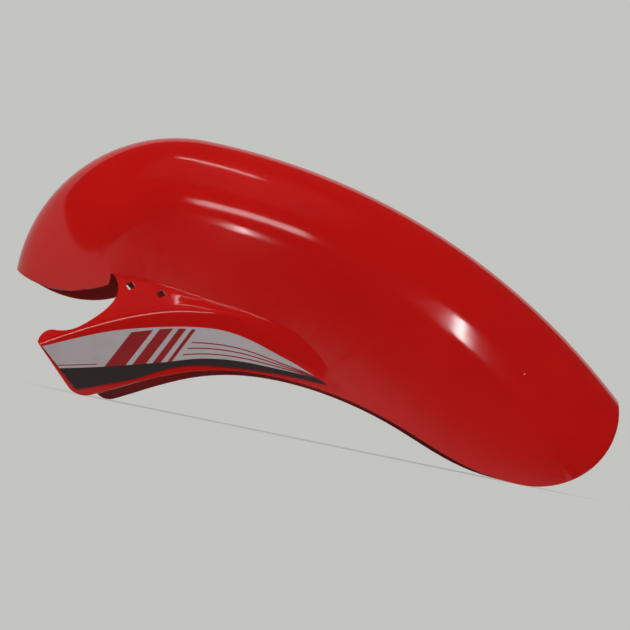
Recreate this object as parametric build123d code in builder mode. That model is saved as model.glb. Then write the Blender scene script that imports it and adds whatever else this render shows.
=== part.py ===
from build123d import *
from math import asin, cos, degrees, hypot, radians, sin
import os

# Front mudguard of a small motorcycle: one moulded shell that arches over the wheel, with a wing on each
# side that flares out round the fork leg, and a vinyl stripe on the outer face of each wing.
# Frame: X forward, Z up, symmetric about Y = 0, millimetres. It stands on the rim of its nose and on the
# rear lower corners of its wings, at Z = 0, and X = 0 is half way along it. The places named below that lie
# along X are measured forward from its rear end.

# Shell: its crown is a tight arc behind the top and a long flat arc in front of it
length = 646.0
height = 290.0
wall = 2.5
rear_crown_radius = 169.5
front_crown_radius = 712.0
nose_radius = 90.0

# Section of the shell: a crown arc, an easier arc down each shoulder, then straight walls
half_width = 58.0
crown_arc = 42.0
shoulder_depth = 95.0

# Lower edge between the wings and the nose
arch_x = 288.5
arch_height = 57.0
front_edge_x = 425.5
front_edge_height = 33.0
sole_x = 195.5
sole_height = 40.6

# Rear rim and the notch for the fork leg
rim_end_height = 120.0
rim_low_x = 53.0
rim_low_height = 100.5
rim_corner_x = 107.5
rim_corner_height = 115.5
notch_depth = 12.0
notch_front_x = 119.0
notch_front_height = 112.0
notch_waist_x = 100.5
notch_waist_height = 74.0

# Wings: how far they flare out, where they grow out of the shell and where they end
wing_flare = 44.0
flare_power = 3
wing_root_x = 435.5
wing_sink = 0.4
crease_x = 223.5
crease_height = 111.0
crease_drop = 106.5
crease_power = 1.6
shelf_rise = 0.48
shelf_step = 7.0
fade_rise = 0.3
softness = 0.45
soft_run = 16.0
tail_x = 57.5
tail_angle = 45.0
tail_top_x = 67.5
tail_top_height = 58.0
tail_bulge = 2.0
corner_x = 108.5
corner_radius = 20.0
edge_angle = 26.0

# Square holes in the shelf of each wing, for the bolts of the fork bracket
hole_width = 8.0
hole_x = 130.0
hole_y = 63.0
hole_height = 119.0
hole_spacing = 32.0
hole_drop = 2.5
hole_tilt = 32.0

# Vinyl stripe on each wing
film = 0.25
film_gap = 0.1
stripe_tail_x = 65.5
stripe_tail_height = 40.0
stripe_heel_x = 104.5
stripe_heel_height = 4.0
stripe_shoulder_x = 135.5
stripe_shoulder_height = 72.5
stripe_top_x = 227.5
stripe_top_height = 92.0
stripe_brow_x = 300.0
stripe_brow_height = 76.5
stripe_tip_x = 345.5
stripe_tip_height = 59.5
stripe_sole_x = 205.5
stripe_sole_height = 50.5
stripe_instep_x = 152.0
stripe_instep_height = 25.0
stripe_belly_x = 283.5
stripe_belly_height = 60.0

# How far the bodies that are cut or joined run past each other
overrun = 6.0
open_angle = 6.0
core_y = half_width / 2
wing_steps = 12

rear_x = -length / 2
nose_x = length / 2
crown_x = rear_x + rear_crown_radius
rear_center_z = height - rear_crown_radius
front_center_z = height - front_crown_radius
front_angle = degrees(asin((nose_x - crown_x) / front_crown_radius)) + open_angle
rear_angle = 125.0
far = 2 * length


def shell_section(inset, depth):
    """Draw the shell's section at the top of the crown, inset by the wall for its inside."""
    side = half_width - inset
    crown = crown_arc - inset
    fall = shoulder_depth - crown_arc
    shoulder_arc = (side**2 - crown**2 + fall**2) / (2 * (side - crown))
    share = crown / (shoulder_arc - crown)
    turn = (share * (shoulder_arc - side), height - crown_arc + share * fall)
    with BuildSketch(Plane.YZ.offset(crown_x)) as section:
        with BuildLine():
            ThreePointArc((-turn[0], turn[1]), (0, height - inset), turn)
            RadiusArc(turn, (side, height - shoulder_depth), shoulder_arc)
            Polyline(
                (side, height - shoulder_depth),
                (side, height - depth),
                (-side, height - depth),
                (-side, height - shoulder_depth),
            )
            RadiusArc((-side, height - shoulder_depth), (-turn[0], turn[1]), shoulder_arc)
        make_face()
    return section.sketch


def shell_body(inset):
    """Turn the section back over the tight arc and forward over the long one, with walls to the wings."""
    opened = open_angle if inset > 0 else 0.0
    skirt = (rear_crown_radius - rim_corner_x, 2 * (half_width - inset), rear_center_z + overrun + inset)
    rear_axis = Axis((crown_x, 0, rear_center_z), (0, -1, 0))
    front_axis = Axis((crown_x, 0, front_center_z), (0, 1, 0))
    with BuildPart() as body:
        revolve(shell_section(inset, rear_crown_radius), rear_axis, rear_angle + opened)
        revolve(shell_section(inset, height + overrun + inset), front_axis, front_angle + opened)
        with Locations((crown_x, 0, rear_center_z)):
            Box(*skirt, align=(Align.MAX, Align.CENTER, Align.MAX))
    return body.part


def wing_sections(inset):
    """Draw the sections of a wing's outside, inset by the wall for its inside or outset for the film."""
    opened = overrun if inset > 0 else 0.0
    inner = core_y - opened
    low = -overrun - opened
    sections = []
    for i in range(wing_steps + 1):
        x = wing_root_x + (tail_x - overrun - wing_root_x) * i / wing_steps
        reach = wing_sink + wing_flare * ((wing_root_x - x) / (wing_root_x - tail_x)) ** flare_power
        rise = shelf_rise if x < crease_x else fade_rise
        climb = hypot(shelf_step, rise * (x - crease_x))
        run = hypot(reach, climb)
        drop = inset * (run - climb) / reach
        root = half_width - 2 * wing_sink - inset
        face = root + reach
        fall = crease_drop * (abs(x - crease_x) / (wing_root_x - crease_x)) ** crease_power
        crease = crease_height - fall - drop
        shelf = crease + climb
        crease_soft = softness * min(run, soft_run) - drop
        shelf_soft = softness * min(run, soft_run) + drop
        with BuildSketch(Plane.YZ.offset(rear_x + x)) as section:
            with BuildLine():
                Polyline((inner, shelf + shelf_soft), (inner, low), (face, low), (face, crease - crease_soft))
                rounding = Bezier(
                    (face, crease - crease_soft),
                    (face, crease),
                    (face - crease_soft * reach / run, crease + crease_soft * climb / run),
                )
                hollow = Bezier(
                    (root + shelf_soft * reach / run, shelf - shelf_soft * climb / run),
                    (root, shelf),
                    (root, shelf + shelf_soft),
                )
                Line(rounding @ 1, hollow @ 0)
                Line(hollow @ 1, (inner, shelf + shelf_soft))
            make_face()
        sections.append(section.sketch)
    return sections


def side_point(x, z):
    """Place a point of the side view, measured from the rear end and from the ground."""
    return (rear_x + x, z)


def side_outline():
    """Draw what is kept of the shell and wings as seen from the side: all that is above their rims."""
    with BuildSketch(Plane.XZ.offset(-far)) as outline:
        with BuildLine():
            corner_center = side_point(corner_x, corner_radius)
            corner = CenterArc(corner_center, corner_radius, 270 - tail_angle, tail_angle + edge_angle)
            tail_start = corner @ 0
            tail_end = side_point(tail_x, tail_start.Y + tail_start.X - rear_x - tail_x)
            tail_mid = side_point(tail_x + tail_bulge, (tail_end[1] + tail_top_height) / 2 + tail_bulge)
            tail_top = side_point(tail_top_x, tail_top_height)
            notch_top = side_point(rim_corner_x, rim_corner_height + notch_depth)
            rim_corner = side_point(rim_corner_x, rim_corner_height)
            Line(tail_start, tail_end)
            ThreePointArc(tail_end, tail_mid, tail_top)
            Spline(
                tail_top,
                side_point(notch_waist_x, notch_waist_height),
                side_point(notch_front_x, notch_front_height),
                notch_top,
                tangents=((1, 0), (-2, 1)),
            )
            Line(notch_top, rim_corner)
            ThreePointArc(
                rim_corner,
                side_point(rim_low_x, rim_low_height),
                (rear_x - overrun, rim_end_height),
            )
            Polyline(
                (rear_x - overrun, rim_end_height),
                (rear_x - overrun, far),
                (nose_x, far),
                (nose_x, nose_radius),
            )
            nose = CenterArc((nose_x - nose_radius, nose_radius), nose_radius, 0, -90)
            Spline(
                nose @ 1,
                side_point(front_edge_x, front_edge_height),
                side_point(arch_x, arch_height),
                side_point(sole_x, sole_height),
                corner @ 1,
                tangents=((-1, 0), (-cos(radians(edge_angle)), -sin(radians(edge_angle)))),
            )
        make_face()
    return outline.sketch


def stripe_outline():
    """Draw the stripe as seen from the side: a blade that follows the lower edge of the wing to a point."""
    with BuildSketch(Plane.XZ.offset(-far)) as outline:
        with BuildLine():
            tail = side_point(stripe_tail_x, stripe_tail_height)
            tip = side_point(stripe_tip_x, stripe_tip_height)
            heel = side_point(stripe_heel_x, stripe_heel_height)
            Spline(
                tail,
                side_point(stripe_shoulder_x, stripe_shoulder_height),
                side_point(stripe_top_x, stripe_top_height),
                side_point(stripe_brow_x, stripe_brow_height),
                tip,
            )
            Spline(
                tip,
                side_point(stripe_belly_x, stripe_belly_height),
                side_point(stripe_sole_x, stripe_sole_height),
                side_point(stripe_instep_x, stripe_instep_height),
                heel,
            )
            Line(heel, tail)
        make_face()
    return outline.sketch


with BuildPart() as wing_limit:
    with BuildSketch(Plane.XY.offset(notch_waist_height + notch_depth)):
        with Locations((rear_x + rim_corner_x + notch_depth / 4, 0)):
            Rectangle(length, length, align=(Align.MAX, Align.CENTER))
    extrude(amount=length)

with BuildPart() as mudguard:
    add(shell_body(0))
    wing = loft(wing_sections(0), mode=Mode.PRIVATE) - wing_limit.part
    add(wing)
    mirror(wing, about=Plane.XZ)
    add(shell_body(wall), mode=Mode.SUBTRACT)
    wing_inside = loft(wing_sections(wall), mode=Mode.PRIVATE) - wing_limit.part
    add(wing_inside, mode=Mode.SUBTRACT)
    mirror(wing_inside, about=Plane.XZ, mode=Mode.SUBTRACT)
    extrude(side_outline(), amount=2 * far, mode=Mode.INTERSECT)
    for side in (-1, 1):
        for i in range(2):
            center = (rear_x + hole_x + i * hole_spacing, side * hole_y, hole_height - i * hole_drop)
            direction = (0, side * cos(radians(hole_tilt)), sin(radians(hole_tilt)))
            with BuildSketch(Plane(origin=center, x_dir=(1, 0, 0), z_dir=direction)):
                Rectangle(hole_width, hole_width, rotation=45)
            extrude(amount=hole_width, both=True, mode=Mode.SUBTRACT)

with BuildPart() as decal_left:
    loft(wing_sections(-film_gap - film))
    loft(wing_sections(-film_gap), mode=Mode.SUBTRACT)
    extrude(stripe_outline(), amount=2 * far, mode=Mode.INTERSECT)

with BuildPart() as decal_right:
    mirror(decal_left.part, about=Plane.XZ)

mudguard.part.label = "mudguard"
decal_left.part.label = "decal_left"
decal_right.part.label = "decal_right"
os.makedirs("parts", exist_ok=True)
export_step(mudguard.part, "parts/mudguard.step")
export_step(decal_left.part, "parts/decal_left.step")
export_step(decal_right.part, "parts/decal_right.step")
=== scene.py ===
from math import hypot, radians, sqrt
from typing import NamedTuple

import bpy
from bpy.props import FloatProperty, FloatVectorProperty, PointerProperty
from bpy.types import Operator, Panel, PropertyGroup
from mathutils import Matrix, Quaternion, Vector


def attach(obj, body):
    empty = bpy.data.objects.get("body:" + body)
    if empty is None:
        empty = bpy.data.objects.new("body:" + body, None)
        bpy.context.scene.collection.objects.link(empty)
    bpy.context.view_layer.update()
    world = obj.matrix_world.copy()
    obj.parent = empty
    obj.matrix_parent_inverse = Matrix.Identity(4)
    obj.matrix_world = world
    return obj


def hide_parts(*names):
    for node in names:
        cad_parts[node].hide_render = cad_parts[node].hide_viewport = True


bl_info = {
    "name": "Motorcycle Front Mudguard",
    "version": (1, 0, 0),
    "blender": (4, 5, 0),
    "location": "View3D > Sidebar > Mudguard",
    "description": "Dresses a moulded front mudguard and its striped films, and lights them for a side view",
    "category": "Object",
}

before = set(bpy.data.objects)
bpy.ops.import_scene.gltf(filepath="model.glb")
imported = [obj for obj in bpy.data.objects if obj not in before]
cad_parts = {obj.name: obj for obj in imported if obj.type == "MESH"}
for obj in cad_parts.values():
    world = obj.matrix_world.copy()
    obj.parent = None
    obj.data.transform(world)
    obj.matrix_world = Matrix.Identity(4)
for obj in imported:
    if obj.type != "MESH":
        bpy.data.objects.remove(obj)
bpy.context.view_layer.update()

# Centres of the two arcs that the crown follows, in metres: the shell's outside faces away from them
CROWN_X = -0.1535
REAR_CENTER = Vector((CROWN_X, 0.0, 0.1205))
FRONT_CENTER = Vector((CROWN_X, 0.0, -0.422))

# How near the corners of loose triangles lie to be joined, and up to which angle edges are shaded smooth
MERGE_DISTANCE = 0.000005
SMOOTH_ANGLE = radians(32)

# The wing's outside: where it leaves the wall in front and ends behind, how it flares between, and the
# section that its face, crease, shelf and the hollow beside the wall follow. The crease peaks at CREASE_X,
# where its bend is eased over PEAK_SOFT and the shelf's rise changes over PEAK_BLEND to either side.
WALL_Y = 0.0580
WING_ROOT_X = 0.1125
WING_TAIL_X = -0.2655
WING_ROOT_Y = 0.0572
WING_SINK = 0.0004
WING_FLARE = 0.0440
FLARE_POWER = 3
CREASE_X = -0.0995
CREASE_HEIGHT = 0.1110
CREASE_DROP = 0.1065
CREASE_POWER = 1.6
SHELF_STEP = 0.0070
SHELF_RISE = 0.48
FADE_RISE = 0.30
SOFTNESS = 0.45
SOFT_RUN = 0.0160
PEAK_SOFT = 0.0100
PEAK_BLEND = 0.0300

# How finely the section's slope is read, how near a point lies to it, how well a facet agrees with it, and
# below which bend a rounding counts as straight
SLOPE_STEP = 0.0002
SECTION_REACH = 0.0020
FACET_FIT = 0.95
STRAIGHT_BEND = 1e-9

# The film on it: its lower and upper edges from the tail to the tip, as (X, Z), the upper edge of its black
# band, the height that the edges are drawn in, how far it lies off the wing, and the grid that it is made of
FILM_LOW = ((-0.2205, 0.0045), (-0.1710, 0.0250), (-0.1175, 0.0505), (-0.0395, 0.0600), (0.0225, 0.0595))
FILM_TOP = ((-0.2600, 0.0395), (-0.1875, 0.0725), (-0.0955, 0.0920), (-0.0230, 0.0765), (0.0225, 0.0595))
BAND_TOP = (
    (-0.2600, 0.0170),
    (-0.2050, 0.0305),
    (-0.1500, 0.0464),
    (-0.0910, 0.0629),
    (-0.0202, 0.0652),
    (0.0225, 0.0630),
)
FILM_HEIGHT = 0.1000
FILM_LIFT = 0.0005
FILM_THICKNESS = 0.0004
FILM_COLUMNS = 80
FILM_ROWS = 8

# Pinstripes over the band, each a share of the height of the white field, a finer line by the tail, and the
# bars that lean behind the pinstripes, as (X at the band, width)
PINSTRIPES = (0.15, 0.33, 0.50)
PINSTRIPE_START = -0.1290
TAIL_LINE_END = -0.2060
TAIL_LINE_RISE = 0.0030
TAIL_LINE_SHARE = 0.8
BARS = ((-0.1985, 0.0200), (-0.1725, 0.0130), (-0.1535, 0.0080), (-0.1395, 0.0045))
BAR_LEAN = 0.55
BAR_CLEARANCE = 0.0035

# Gloss of the outside: the rounding of its rims, the drift of its colour, rubs that run along it, specks of
# dust, and the ripple of the mould
PLASTIC_IOR = 1.5
ROUND_SAMPLES = 6
CLOUD_SCALE = 7.0
CLOUD_DETAIL = 3.0
CLOUD_EDGES = (0.40, 0.70)
CLOUD_ROUGHNESS = 0.035
RUB_STRETCH = (6.0, 90.0, 90.0)
RUB_SCALE = 4.0
RUB_DETAIL = 4.0
RUB_EDGES = (0.60, 0.74)
RUB_ROUGHNESS = 0.06
SPECK_SCALE = 60.0
SPECK_CHOICE = 0.93
SPECK_RADIUS = 0.055
SPECK_COVER = 0.7
SPECK_ROUGHNESS = 0.35
RIPPLE_SCALE = 34.0
RIPPLE_DETAIL = 1.0
RIPPLE_STRENGTH = 0.05
RIPPLE_DEPTH = 0.0006

# Satin of the inside: drift of its colour between the painted-shade inside red and the outside red, and the
# grain of the mould
BLOOM_SCALE = 11.0
BLOOM_DETAIL = 4.0
BLOOM_EDGES = (0.35, 0.75)
BLOOM_ROUGHNESS = 0.12
GRAIN_SCALE = 900.0
GRAIN_DETAIL = 2.0
GRAIN_STRENGTH = 0.25
GRAIN_DEPTH = 0.0001

# Film: its gloss, its wear, and the slight waves that it lies in
FILM_ROUGHNESS = 0.16
WEAR_SCALE = 30.0
WEAR_DETAIL = 4.0
WEAR_EDGES = (0.45, 0.80)
WEAR_COVER = 0.12
WEAR_ROUGHNESS = 0.10
WAVE_SCALE = 40.0
WAVE_DETAIL = 1.0
WAVE_STRENGTH = 0.04
WAVE_DEPTH = 0.0004

# Floor: how far the shadow under the piece reaches along X and Y, how clear the floor stays in it, and where
# it fades, as shares of that reach
SHADOW_REACH = (0.36, 0.16)
SHADOW_CLEAR = 0.62
SHADOW_EDGES = (0.5, 1.1)

# Surroundings: the height at which they turn from pale to dim, how it leans along Y and X, how much more it
# leans ahead of the piece, and how far back it leans at all
HORIZON_EDGES = (0.548, 0.576)
HORIZON_LEAN_Y = 0.5
HORIZON_LEAN_X = 0.226
HORIZON_LEAN_AHEAD = 0.35
HORIZON_LEVEL_BEHIND = -0.15

# Nearest that the camera sees, in metres
CAMERA_NEAR = 0.005


class Lamp(NamedTuple):
    """A rectangular lamp: its place and aim, its sides, power and roll, and whether the gloss mirrors it."""

    name: str
    place: tuple
    target: tuple
    size: tuple
    power: float
    roll: float = 0.0
    mirrored: bool = True


LAMPS = (
    Lamp("tube_over", (-0.34, -0.70, 1.76), (-0.11, -0.04, 0.25), (0.52, 0.035), 0.55),
    Lamp("tube_front", (-0.155, -1.52, 0.93), (-0.08, -0.05, 0.21), (0.35, 0.11), 0.8),
    Lamp("window_rear", (-0.25, -2.20, 0.62), (-0.10, -0.05, 0.19), (0.030, 0.17), 0.5),
    Lamp("window_front", (0.64, -2.10, 0.92), (0.14, -0.05, 0.14), (0.035, 0.60), 3.0, radians(-27)),
    Lamp("soft_key", (-0.60, -2.00, 3.40), (0.0, 0.0, 0.12), (2.4, 2.0), 105.0, mirrored=False),
    Lamp("soft_back", (0.60, 2.60, 2.60), (0.0, 0.0, 0.12), (2.4, 2.0), 40.0, mirrored=False),
)


class ShellSettings(PropertyGroup):
    """Finish of the moulded shell."""

    paint: FloatVectorProperty(
        name="Red",
        description="Colour of the glossy moulded plastic",
        subtype="COLOR",
        size=4,
        min=0.0,
        max=1.0,
        default=(0.50, 0.0035, 0.0025, 1.0),
    )
    sunned: FloatVectorProperty(
        name="Sunned red",
        description="Colour that the red drifts to where the moulding is a little lighter",
        subtype="COLOR",
        size=4,
        min=0.0,
        max=1.0,
        default=(0.54, 0.005, 0.0035, 1.0),
    )
    # The inside is the same red plastic as the outside; this colour is written darker as painted shade, and
    # only its satin roughness is the moulding's own
    inside: FloatVectorProperty(
        name="Inside red",
        description="Colour of the satin inside",
        subtype="COLOR",
        size=4,
        min=0.0,
        max=1.0,
        default=(0.33, 0.006, 0.005, 1.0),
    )
    dust: FloatVectorProperty(
        name="Dust",
        description="Colour of the specks of dust on the red",
        subtype="COLOR",
        size=4,
        min=0.0,
        max=1.0,
        default=(0.62, 0.38, 0.34, 1.0),
    )
    gloss: FloatProperty(
        name="Gloss roughness",
        description="Roughness of the outside",
        subtype="FACTOR",
        min=0.0,
        max=1.0,
        default=0.065,
    )
    satin: FloatProperty(
        name="Satin roughness",
        description="Roughness of the inside",
        subtype="FACTOR",
        min=0.0,
        max=1.0,
        default=0.46,
    )
    rim_round: FloatProperty(
        name="Rim rounding",
        description="Radius that the rims and the square holes seem to be rounded by",
        unit="LENGTH",
        min=0.0,
        default=0.0009,
    )


class FilmSettings(PropertyGroup):
    """Print of the vinyl films."""

    # The film's white is written grey, well below a real white film, as painted shade on the film
    field: FloatVectorProperty(
        name="White",
        description="Colour of the film's field",
        subtype="COLOR",
        size=4,
        min=0.0,
        max=1.0,
        default=(0.44, 0.395, 0.415, 1.0),
    )
    band: FloatVectorProperty(
        name="Black",
        description="Colour of the band along the film's lower edge",
        subtype="COLOR",
        size=4,
        min=0.0,
        max=1.0,
        default=(0.022, 0.012, 0.013, 1.0),
    )
    accent: FloatVectorProperty(
        name="Dark red",
        description="Colour of the bars and the pinstripes",
        subtype="COLOR",
        size=4,
        min=0.0,
        max=1.0,
        default=(0.27, 0.008, 0.010, 1.0),
    )
    line: FloatProperty(
        name="Pinstripe",
        description="Width of each pinstripe",
        unit="LENGTH",
        min=0.0,
        default=0.0012,
    )


class StageSettings(PropertyGroup):
    """Floor, surroundings, lamps and camera."""

    floor_size: FloatProperty(
        name="Floor",
        description="Length of the floor's sides",
        unit="LENGTH",
        min=0.0,
        default=40.0,
    )
    floor: FloatVectorProperty(
        name="Floor colour",
        description="Colour of the floor",
        subtype="COLOR",
        size=4,
        min=0.0,
        max=1.0,
        default=(0.60, 0.60, 0.585, 1.0),
    )
    pale: FloatVectorProperty(
        name="Surroundings",
        description="Colour of the surroundings at the sides of the stage and behind it",
        subtype="COLOR",
        size=4,
        min=0.0,
        max=1.0,
        default=(0.55, 0.55, 0.53, 1.0),
    )
    ceiling: FloatVectorProperty(
        name="Ceiling",
        description="Colour of the dimmer surroundings above the camera",
        subtype="COLOR",
        size=4,
        min=0.0,
        max=1.0,
        default=(0.08, 0.075, 0.07, 1.0),
    )
    camera_place: FloatVectorProperty(
        name="Camera",
        description="Place of the camera, beside the right wing",
        subtype="TRANSLATION",
        unit="LENGTH",
        size=3,
        default=(0.0194, -1.5, 0.0126),
    )
    camera_turn: FloatVectorProperty(
        name="Camera turn",
        description="Turn of the camera: tilted up, and rolled so that the nose hangs down",
        subtype="EULER",
        unit="ROTATION",
        size=3,
        default=(radians(94.614), radians(-11.54), 0.0),
    )
    lens: FloatProperty(
        name="Lens",
        description="Focal length of the camera, in millimetres",
        unit="CAMERA",
        min=1.0,
        default=81.43,
    )


class Value:
    """An output of a shader node that Python's arithmetic works on."""

    def __init__(self, graph, socket):
        self.graph = graph
        self.socket = socket

    def math(self, operation, first, second):
        """Work out one step of arithmetic in a node."""
        return self.graph.node("ShaderNodeMath", {"operation": operation}, {0: first, 1: second})["Value"]

    def __add__(self, other):
        return self.math("ADD", self, other)

    def __radd__(self, other):
        return self.math("ADD", other, self)

    def __sub__(self, other):
        return self.math("SUBTRACT", self, other)

    def __rsub__(self, other):
        return self.math("SUBTRACT", other, self)

    def __mul__(self, other):
        return self.math("MULTIPLY", self, other)

    def __rmul__(self, other):
        return self.math("MULTIPLY", other, self)

    def __truediv__(self, other):
        return self.math("DIVIDE", self, other)

    def __rtruediv__(self, other):
        return self.math("DIVIDE", other, self)

    def __lt__(self, other):
        return self.math("LESS_THAN", self, other)

    def __gt__(self, other):
        return self.math("GREATER_THAN", self, other)

    def at_least(self, other):
        """Take the larger of two values."""
        return self.math("MAXIMUM", self, other)


class Outputs:
    """The outputs of one node, by name or number."""

    def __init__(self, graph, made):
        self.graph = graph
        self.made = made

    def __getitem__(self, key):
        return Value(self.graph, self.made.outputs[key])


class Graph:
    """The node tree of a material or of the world, emptied and built up node by node."""

    def __init__(self, tree):
        self.tree = tree
        tree.nodes.clear()

    def node(self, kind, settings=None, sockets=None):
        """Add a node, with its settings first and then the values or links of its sockets."""
        made = self.tree.nodes.new(kind)
        for key, setting in (settings or {}).items():
            if key == "curve":
                self.draw_curve(made.mapping, setting)
            else:
                setattr(made, key, setting)
        for key, value in (sockets or {}).items():
            if isinstance(value, Value):
                self.tree.links.new(value.socket, made.inputs[key])
            else:
                made.inputs[key].default_value = value
        return Outputs(self, made)

    def draw_curve(self, mapping, points):
        """Lay a float curve through points that go from 0 to 1 both ways."""
        curve = mapping.curves[0]
        while len(curve.points) < len(points):
            curve.points.new(0.5, 0.5)
        for point, place in zip(curve.points, points):
            point.location = place
        mapping.update()

    def mix(self, factor, first, second):
        """Mix two colours."""
        sockets = {0: factor, 6: first, 7: second}
        return self.node("ShaderNodeMix", {"data_type": "RGBA"}, sockets)[2]

    def rise(self, value, low, high):
        """Go smoothly from 0 to 1 while the value goes from low to high."""
        sockets = {"Value": value, "From Min": low, "From Max": high}
        return self.node("ShaderNodeMapRange", {"interpolation_type": "SMOOTHSTEP"}, sockets)["Result"]

    def noise(self, place, scale, detail):
        """Read soft noise at a place."""
        sockets = {"Vector": place, "Scale": scale, "Detail": detail}
        return self.node("ShaderNodeTexNoise", None, sockets)["Fac"]

    def place(self):
        """Read the place on the piece, in metres."""
        return self.node("ShaderNodeTexCoord")["Object"]

    def rounded(self, radius):
        """Read the surface's direction with its edges rounded by a radius."""
        return self.node("ShaderNodeBevel", {"samples": ROUND_SAMPLES}, {"Radius": radius})["Normal"]

    def bump(self, sockets):
        """Read the surface's direction with a height on it."""
        return self.node("ShaderNodeBump", None, sockets)["Normal"]

    def surface(self, color, roughness, normal):
        """Finish the tree as a plastic surface."""
        plastic = self.node(
            "ShaderNodeBsdfPrincipled",
            None,
            {"Base Color": color, "Roughness": roughness, "Normal": normal, "IOR": PLASTIC_IOR},
        )
        self.node("ShaderNodeOutputMaterial", None, {"Surface": plastic["BSDF"]})


def new_material(name):
    """Add a material and start its node tree."""
    material = bpy.data.materials.new(name)
    material.use_nodes = True
    return material, Graph(material.node_tree)


def gloss_red(settings):
    """Make the glossy red of the outside, with dust, fine rubs and the slight ripple of moulded plastic."""
    material, graph = new_material("gloss_red_plastic")
    place = graph.place()
    cloud = graph.noise(place, CLOUD_SCALE, CLOUD_DETAIL)
    along = graph.node("ShaderNodeMapping", None, {"Vector": place, "Scale": RUB_STRETCH})["Vector"]
    rubs = graph.rise(graph.noise(along, RUB_SCALE, RUB_DETAIL), *RUB_EDGES)
    cells = graph.node("ShaderNodeTexVoronoi", {"feature": "F1"}, {"Vector": place, "Scale": SPECK_SCALE})
    chosen = graph.node("ShaderNodeSeparateColor", None, {"Color": cells["Color"]})["Red"] > SPECK_CHOICE
    specks = chosen * (cells["Distance"] < SPECK_RADIUS)
    color = graph.mix(graph.rise(cloud, *CLOUD_EDGES), settings.paint, settings.sunned)
    color = graph.mix(specks * SPECK_COVER, color, settings.dust)
    roughness = settings.gloss + CLOUD_ROUGHNESS * cloud + RUB_ROUGHNESS * rubs + SPECK_ROUGHNESS * specks
    normal = graph.bump(
        {
            "Strength": RIPPLE_STRENGTH,
            "Distance": RIPPLE_DEPTH,
            "Height": graph.noise(place, RIPPLE_SCALE, RIPPLE_DETAIL),
            "Normal": graph.rounded(settings.rim_round),
        }
    )
    graph.surface(color, roughness, normal)
    return material


def satin_red(settings):
    """Make the satin red of the inside, darkened as painted shade, with the fine grain that the mould
    leaves.
    """
    material, graph = new_material("satin_red_plastic")
    place = graph.place()
    bloom = graph.noise(place, BLOOM_SCALE, BLOOM_DETAIL)
    # The colour drifts at random between the painted-shade inside red and the outside red
    color = graph.mix(graph.rise(bloom, *BLOOM_EDGES), settings.inside, settings.paint)
    roughness = settings.satin + BLOOM_ROUGHNESS * bloom
    normal = graph.bump(
        {
            "Strength": GRAIN_STRENGTH,
            "Distance": GRAIN_DEPTH,
            "Height": graph.noise(place, GRAIN_SCALE, GRAIN_DETAIL),
            "Normal": graph.rounded(settings.rim_round),
        }
    )
    graph.surface(color, roughness, normal)
    return material


def edge_height(graph, share, edge):
    """Read the height of an edge of the print at a share of the film's length."""
    tail_x = edge[0][0]
    length = edge[-1][0] - tail_x
    points = [((x - tail_x) / length, z / FILM_HEIGHT) for x, z in edge]
    return graph.node("ShaderNodeFloatCurve", {"curve": points}, {"Value": share})[0] * FILM_HEIGHT


def within(value, center, reach):
    """Mark where a value is within reach of a centre."""
    return (value > center - reach) * (value < center + reach)


def printed_film(settings):
    """Make the film's print: a black band, bars that lean back, and pinstripes that run out to the tip."""
    material, graph = new_material("printed_vinyl")
    place = graph.place()
    axes = graph.node("ShaderNodeSeparateXYZ", None, {"Vector": place})
    x = axes["X"]
    z = axes["Z"]
    share = (x - FILM_TOP[0][0]) / (FILM_TOP[-1][0] - FILM_TOP[0][0])
    band_top = edge_height(graph, share, BAND_TOP)
    field_height = edge_height(graph, share, FILM_TOP) - band_top
    above = z - band_top

    leaned = x - BAR_LEAN * above
    half_line = settings.line / 2
    marks = within(above, TAIL_LINE_RISE, TAIL_LINE_SHARE * half_line) * (x < TAIL_LINE_END)
    for height in PINSTRIPES:
        stripe = within(above - height * field_height, 0.0, half_line)
        marks = marks + stripe * (leaned > PINSTRIPE_START)
    for start, width in BARS:
        bar = within(leaned, start + width / 2, width / 2)
        marks = marks + bar * (above < field_height - BAR_CLEARANCE)

    wear = graph.noise(place, WEAR_SCALE, WEAR_DETAIL)
    # The field's grey is painted shade on the white film; the wear tints it at random towards the dark red
    field = graph.mix(graph.rise(wear, *WEAR_EDGES) * WEAR_COVER, settings.field, settings.accent)
    color = graph.mix(marks, field, settings.accent)
    color = graph.mix(above < 0.0, color, settings.band)
    normal = graph.bump(
        {
            "Strength": WAVE_STRENGTH,
            "Distance": WAVE_DEPTH,
            "Height": graph.noise(place, WAVE_SCALE, WAVE_DETAIL),
        }
    )
    graph.surface(color, FILM_ROUGHNESS + WEAR_ROUGHNESS * wear, normal)
    return material


def merged_copy(node, name):
    """Copy a node of the frame as a piece, with its loose triangles joined."""
    piece = bpy.data.objects.new(name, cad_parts[node].data.copy())
    bpy.context.scene.collection.objects.link(piece)
    bpy.ops.object.select_all(action="DESELECT")
    piece.select_set(True)
    bpy.context.view_layer.objects.active = piece
    bpy.ops.object.mode_set(mode="EDIT")
    bpy.ops.mesh.select_all(action="SELECT")
    bpy.ops.mesh.remove_doubles(threshold=MERGE_DISTANCE)
    bpy.ops.object.mode_set(mode="OBJECT")
    return piece


def smooth(piece):
    """Shade a piece smooth, with its flat walls kept flat up to the curves beside them."""
    bpy.ops.object.shade_smooth_by_angle(angle=SMOOTH_ANGLE)
    weighting = piece.modifiers.new("even_shading", "WEIGHTED_NORMAL")
    weighting.mode = "FACE_AREA_WITH_ANGLE"
    weighting.keep_sharp = True
    bpy.ops.object.modifier_apply(modifier=weighting.name)


def wing_reach(x):
    """Find how far the wing's face stands out from its root."""
    return WING_SINK + WING_FLARE * ((WING_ROOT_X - x) / (WING_ROOT_X - WING_TAIL_X)) ** FLARE_POWER


def turn_share(start, corner, end, z):
    """Find how far along a rounding, from its start to its end by its corner, a height is met."""
    bend = start - 2 * corner + end
    lean = corner - start
    if abs(bend) < STRAIGHT_BEND:
        return (z - start) / (2 * lean)
    return (sqrt(max(lean * lean - bend * (start - z), 0.0)) - lean) / bend


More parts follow.
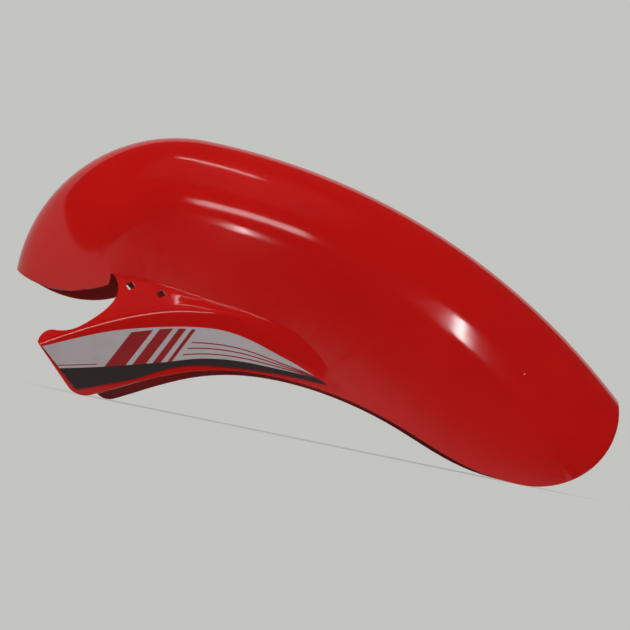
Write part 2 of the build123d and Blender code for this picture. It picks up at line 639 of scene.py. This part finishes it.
def wing_side(x, z):
    """Find how far out the wing's outside is at a place along it and a height."""
    reach = wing_reach(x)
    behind = min(max((CREASE_X - x) / (2 * PEAK_BLEND) + 0.5, 0.0), 1.0)
    behind = behind * behind * (3 - 2 * behind)
    rise = FADE_RISE + (SHELF_RISE - FADE_RISE) * behind
    climb = hypot(SHELF_STEP, rise * (x - CREASE_X))
    run = hypot(reach, climb)
    soft = SOFTNESS * min(run, SOFT_RUN)
    fall = CREASE_DROP * (hypot(x - CREASE_X, PEAK_SOFT) / (WING_ROOT_X - CREASE_X)) ** CREASE_POWER
    crease = CREASE_HEIGHT - fall
    shelf = crease + climb
    crease_end = crease + soft * climb / run
    hollow_start = shelf - soft * climb / run
    if z < crease - soft:
        return WING_ROOT_Y + reach
    if z < crease_end:
        share = turn_share(crease - soft, crease, crease_end, z)
        return WING_ROOT_Y + reach * (1 - share * share * soft / run)
    if z < hollow_start:
        return WING_ROOT_Y + reach * (shelf - z) / climb
    if z < shelf + soft:
        share = turn_share(hollow_start, shelf, shelf + soft, z)
        return WING_ROOT_Y + reach * (1 - share) ** 2 * soft / run
    return WING_ROOT_Y


def wing_normal(place):
    """Find the way that the wing's outside faces at a place on it, or nothing off it."""
    x, y, z = place
    if x > WING_ROOT_X - SLOPE_STEP or abs(y) < WALL_Y or abs(abs(y) - wing_side(x, z)) > SECTION_REACH:
        return None
    along = (wing_side(x + SLOPE_STEP, z) - wing_side(x - SLOPE_STEP, z)) / (2 * SLOPE_STEP)
    upward = (wing_side(x, z + SLOPE_STEP) - wing_side(x, z - SLOPE_STEP)) / (2 * SLOPE_STEP)
    return Vector((-along, 1.0 if y > 0 else -1.0, -upward)).normalized()


def even_wings(piece):
    """Let the outside of the wings shade by their own section, and not by the facets that approach it."""
    mesh = piece.data
    normals = [corner.vector.copy() for corner in mesh.corner_normals]
    for face in mesh.polygons:
        for index in face.loop_indices:
            normal = wing_normal(mesh.vertices[mesh.loops[index].vertex_index].co)
            if normal and normal.dot(face.normal) > FACET_FIT:
                normals[index] = normal
    mesh.normals_split_custom_set(normals)


def edge_point(points, share):
    """Find the point at a share of a smooth line through points, each span drawn as a Bezier curve."""
    places = [Vector(point) for point in points]
    run = share * (len(places) - 1)
    first = min(int(run), len(places) - 2)
    step = run - first
    before, start, end, after = (places[min(max(first + k, 0), len(places) - 1)] for k in (-1, 0, 1, 2))
    # A span's handles are a sixth of the way between the points beside each of its ends
    leave = start + (end - before) / 6
    arrive = end - (after - start) / 6
    early = start.lerp(leave, step).lerp(leave.lerp(arrive, step), step)
    late = leave.lerp(arrive, step).lerp(arrive.lerp(end, step), step)
    return early.lerp(late, step)


def film_sheet(name, side):
    """Lay a grid on a wing's outer face between the film's two edges, and give it the film's thickness."""
    bpy.ops.object.select_all(action="DESELECT")
    bpy.ops.mesh.primitive_grid_add(x_subdivisions=FILM_COLUMNS, y_subdivisions=FILM_ROWS, size=1)
    piece = bpy.context.object
    piece.name = name
    for vertex in piece.data.vertices:
        # The grid starts as a square with sides of 1 about the origin
        along = vertex.co.x + 0.5
        across = vertex.co.y + 0.5
        x, z = edge_point(FILM_LOW, along).lerp(edge_point(FILM_TOP, along), across)
        vertex.co = (x, side * (WING_ROOT_Y + wing_reach(x) + FILM_LIFT), z)
    backing = piece.modifiers.new("film_thickness", "SOLIDIFY")
    backing.thickness = FILM_THICKNESS
    backing.offset = 0
    bpy.ops.object.modifier_apply(modifier=backing.name)
    bpy.ops.object.mode_set(mode="EDIT")
    bpy.ops.mesh.select_all(action="SELECT")
    bpy.ops.mesh.remove_doubles(threshold=MERGE_DISTANCE)
    bpy.ops.mesh.normals_make_consistent(inside=False)
    bpy.ops.object.mode_set(mode="OBJECT")
    bpy.ops.object.shade_smooth_by_angle(angle=SMOOTH_ANGLE)
    return piece


class MUDGUARD_OT_shell(Operator):
    """Make the moulded shell with its wings, glossy outside and satin inside"""

    bl_idname = "mudguard.shell"
    bl_label = "Moulded Shell"

    def execute(self, context):
        settings = context.scene.mudguard_shell
        piece = merged_copy("mudguard", "mudguard_shell")
        smooth(piece)
        even_wings(piece)
        piece.data.materials.clear()
        piece.data.materials.append(gloss_red(settings))
        piece.data.materials.append(satin_red(settings))
        for face in piece.data.polygons:
            center = REAR_CENTER if face.center.x < CROWN_X else FRONT_CENTER
            face.material_index = 1 if face.normal.dot(face.center - center) < 0 else 0
        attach(piece, "root")
        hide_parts("mudguard")
        return {"FINISHED"}


class MUDGUARD_OT_films(Operator):
    """Make the printed film on each wing"""

    bl_idname = "mudguard.films"
    bl_label = "Printed Films"

    def execute(self, context):
        material = printed_film(context.scene.mudguard_film)
        for node, side in (("decal_left", 1), ("decal_right", -1)):
            piece = film_sheet(node + "_film", side)
            piece.data.materials.append(material)
            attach(piece, "root")
            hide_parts(node)
        return {"FINISHED"}


def pale_floor(settings):
    """Make the floor: as pale as the surroundings where it is seen, with the shadow of the piece near it."""
    material, graph = new_material("pale_floor")
    sheet = graph.node("ShaderNodeBsdfDiffuse", None, {"Color": settings.floor})
    glow = graph.node("ShaderNodeEmission", None, {"Color": settings.pale, "Strength": 1.0})
    rays = graph.node("ShaderNodeLightPath")
    seen = rays["Is Camera Ray"] + rays["Is Glossy Ray"] + rays["Is Transmission Ray"]
    shares = (1 / SHADOW_REACH[0], 1 / SHADOW_REACH[1], 1.0)
    spread = graph.node("ShaderNodeMapping", None, {"Vector": graph.place(), "Scale": shares})["Vector"]
    away = graph.node("ShaderNodeVectorMath", {"operation": "LENGTH"}, {0: spread})["Value"]
    clear = SHADOW_CLEAR + (1 - SHADOW_CLEAR) * graph.rise(away, *SHADOW_EDGES)
    shown = graph.node("ShaderNodeMixShader", None, {0: clear * seen, 1: sheet["BSDF"], 2: glow["Emission"]})
    graph.node("ShaderNodeOutputMaterial", None, {"Surface": shown["Shader"]})
    return material


def surroundings(settings):
    """Make a world that is pale all round, down to its ground, and dim above its horizon."""
    world = bpy.data.worlds.new("studio")
    world.use_nodes = True
    graph = Graph(world.node_tree)
    way = graph.node("ShaderNodeTexCoord")["Generated"]
    axes = graph.node("ShaderNodeSeparateXYZ", None, {"Vector": way})
    beside = HORIZON_LEAN_X * axes["X"].at_least(HORIZON_LEVEL_BEHIND)
    ahead = HORIZON_LEAN_AHEAD * axes["X"].at_least(0.0)
    height = axes["Z"] - HORIZON_LEAN_Y * axes["Y"] + beside + ahead
    color = graph.mix(graph.rise(height, *HORIZON_EDGES), settings.pale, settings.ceiling)
    light = graph.node("ShaderNodeBackground", None, {"Color": color, "Strength": 1.0})
    graph.node("ShaderNodeOutputWorld", None, {"Surface": light["Background"]})
    return world


def add_lamp(lamp):
    """Add a lamp of the stage, aimed and rolled about its aim."""
    bpy.ops.object.light_add(type="AREA", location=lamp.place)
    light = bpy.context.object
    light.name = lamp.name
    light.data.shape = "RECTANGLE"
    light.data.size, light.data.size_y = lamp.size
    light.data.energy = lamp.power
    aim = (Vector(lamp.target) - Vector(lamp.place)).to_track_quat("-Z", "Y")
    light.rotation_euler = (aim @ Quaternion((0, 0, 1), lamp.roll)).to_euler()
    light.visible_glossy = lamp.mirrored


class MUDGUARD_OT_stage(Operator):
    """Lay the pale floor, set the surroundings and lamps, and place the camera"""

    bl_idname = "mudguard.stage"
    bl_label = "Stage"

    def execute(self, context):
        settings = context.scene.mudguard_stage
        bpy.ops.object.select_all(action="DESELECT")
        bpy.ops.mesh.primitive_plane_add(size=settings.floor_size)
        floor = context.object
        floor.name = "stage_floor"
        floor.data.materials.append(pale_floor(settings))
        context.scene.world = surroundings(settings)
        for lamp in LAMPS:
            add_lamp(lamp)
        bpy.ops.object.camera_add(location=settings.camera_place, rotation=settings.camera_turn)
        camera = context.object
        camera.data.lens = settings.lens
        camera.data.clip_start = CAMERA_NEAR
        context.scene.camera = camera
        context.scene.view_settings.view_transform = "Standard"
        return {"FINISHED"}


class MUDGUARD_PT_panel(Panel):
    """List the steps that dress the mudguard, with their sizes and colours"""

    bl_idname = "MUDGUARD_PT_panel"
    bl_label = "Front Mudguard"
    bl_space_type = "VIEW_3D"
    bl_region_type = "UI"
    bl_category = "Mudguard"

    def draw(self, context):
        for operator, group in STEPS:
            column = self.layout.column(align=True)
            column.operator(operator.bl_idname)
            settings = getattr(context.scene, group)
            for name in settings.bl_rna.properties.keys():
                if name not in ("rna_type", "name"):
                    column.prop(settings, name)


STEPS = (
    (MUDGUARD_OT_shell, "mudguard_shell"),
    (MUDGUARD_OT_films, "mudguard_film"),
    (MUDGUARD_OT_stage, "mudguard_stage"),
)
GROUPS = (
    ("mudguard_shell", ShellSettings),
    ("mudguard_film", FilmSettings),
    ("mudguard_stage", StageSettings),
)


def register():
    for name, group in GROUPS:
        bpy.utils.register_class(group)
        setattr(bpy.types.Scene, name, PointerProperty(type=group))
    for operator, _ in STEPS:
        bpy.utils.register_class(operator)
    bpy.utils.register_class(MUDGUARD_PT_panel)


def unregister():
    bpy.utils.unregister_class(MUDGUARD_PT_panel)
    for operator, _ in reversed(STEPS):
        bpy.utils.unregister_class(operator)
    for name, group in reversed(GROUPS):
        delattr(bpy.types.Scene, name)
        bpy.utils.unregister_class(group)


def main():
    register()
    bpy.ops.mudguard.shell()
    bpy.ops.mudguard.films()
    bpy.ops.mudguard.stage()


if __name__ == "__main__":
    main()
